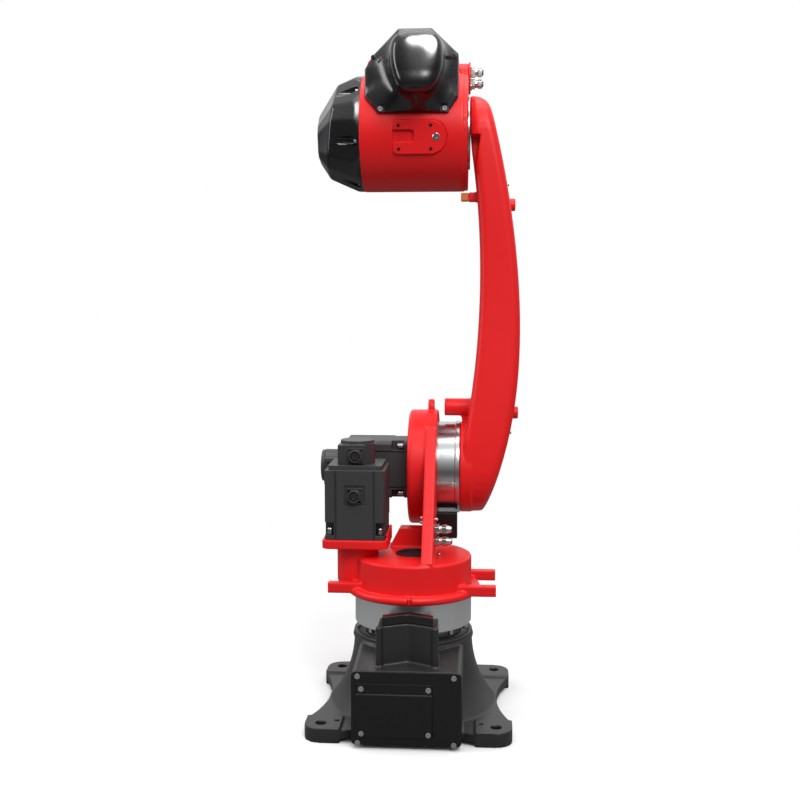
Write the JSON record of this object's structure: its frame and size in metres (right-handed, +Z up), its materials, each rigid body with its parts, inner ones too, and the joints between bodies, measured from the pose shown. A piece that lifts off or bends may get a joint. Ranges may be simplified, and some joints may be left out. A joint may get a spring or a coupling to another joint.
{
  "type": "industrial robot arm",
  "caption": "Floor-mounted articulated robot arm with a flared foot, swivelling turret, bowed lower arm, elbow with covers, forearm, wrist and tool flange.",
  "frame": {"origin": "centre of the four anchor holes, on the floor plane under the foot, on the swivel axis", "axes": "+Z up along the swivel axis, +Y forward along the level forearm, +X to the side of the lower arm"},
  "size_m": [0.456, 1.297, 1.482],
  "materials": {
    "red_paint": "gloss paint",
    "black_casting": "satin black paint",
    "black_sheet": "satin black paint",
    "motor_black": "satin black",
    "motor_plastic": "satin black",
    "steel": "machined",
    "nickel": "nickel plate",
    "black_rubber": "matte",
    "orange_rubber": "matte",
    "gloss_cover": "gloss"
  },
  "bodies": {
    "base": {"base_casting": "black_casting", "box_cover": "black_sheet", "connector_panel": "black_sheet", "swivel_stop": "black_casting", "swivel_output": "steel"},
    "turret": {"turret": "red_paint", "swivel_reducer": "steel", "cable_cap": "black_rubber", "swivel_motor": "motor_black", "swivel_encoder": "motor_plastic", "swivel_sockets": "motor_plastic", "shoulder_motor": "motor_black", "shoulder_encoder": "motor_plastic", "shoulder_sockets": "motor_plastic", "shoulder_reducer": "steel", "shoulder_stop": "black_casting", "turret_glands": "nickel"},
    "lower_arm": {"lower_arm": "red_paint", "elbow_bumper": "orange_rubber"},
    "elbow": {"elbow_housing": "red_paint", "elbow_reducer": "steel", "side_cover": "gloss_cover", "rear_cover": "gloss_cover", "access_plate": "red_paint", "outlet_plate": "red_paint", "outlet_glands": "nickel", "roll_reducer": "steel", "forearm": "red_paint", "fork_cover_left": "gloss_cover", "fork_cover_right": "gloss_cover", "wrist_body": "red_paint", "wrist_ring": "steel", "tool_flange": "steel"}
  },
  "joints": [
    {"name": "swivel", "type": "hinge", "parent": "base", "child": "turret", "pos_m": [0, 0, 0.204], "axis": [0, 0, 1], "range_deg": [-170, 170]},
    {"name": "shoulder", "type": "hinge", "parent": "turret", "child": "lower_arm", "pos_m": [0.098, 0.17, 0.515], "axis": [-1, 0, 0], "range_deg": [-100, 65]},
    {"name": "elbow", "type": "hinge", "parent": "lower_arm", "child": "elbow", "pos_m": [0.118, 0.17, 1.275], "axis": [1, 0, 0], "range_deg": [-75, 145]}
  ]
}
